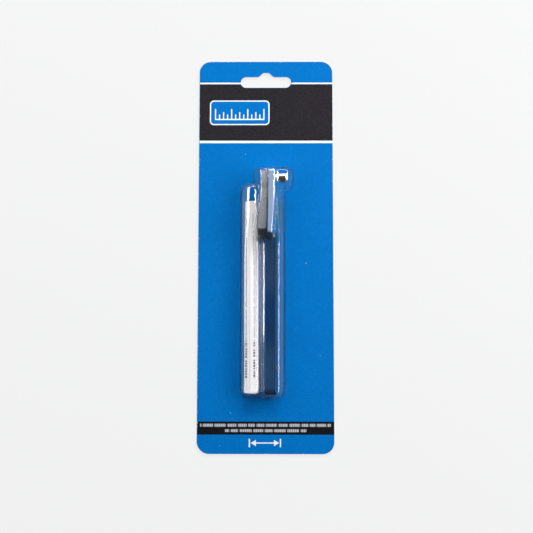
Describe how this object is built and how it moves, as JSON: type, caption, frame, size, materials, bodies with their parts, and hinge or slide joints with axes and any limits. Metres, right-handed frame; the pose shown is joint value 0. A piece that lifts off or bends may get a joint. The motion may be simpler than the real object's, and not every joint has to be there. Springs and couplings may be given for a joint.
{
  "type": "chain wear gauge in blister pack",
  "caption": "Steel chain wear gauge with a pivoting indicator arm, sealed with a rolled leaflet under a clear blister on a tall display card with a hang hole.",
  "frame": {"origin": "centre of the back face of the card", "axes": "+Z out of the printed face, +Y along the card to the hang hole, +X to the right seen from the front"},
  "size_m": [0.0826, 0.2414, 0.021],
  "materials": {
    "back_board": "satin coated board",
    "printed_board": "satin coated board",
    "clear_film": "clear thermoformed film",
    "leaflet_paper": "uncoated",
    "dark_steel": "dark oxide, satin",
    "blasted_steel": "matt, grained",
    "bright_steel": "polished",
    "dark_pin": "dark oxide, satin",
    "rivet_steel": "satin",
    "washer_brass": "satin"
  },
  "bodies": {
    "root": {"back_card": "back_board", "front_card": "printed_board", "clear_blister": "clear_film", "rolled_leaflet": "leaflet_paper", "gauge_body": "dark_steel", "indicator_arm": "blasted_steel", "head_pin": "bright_steel", "foot_pin": "dark_pin", "pivot_rivet": "rivet_steel", "pivot_washer": "washer_brass"}
  },
  "joints": []
}
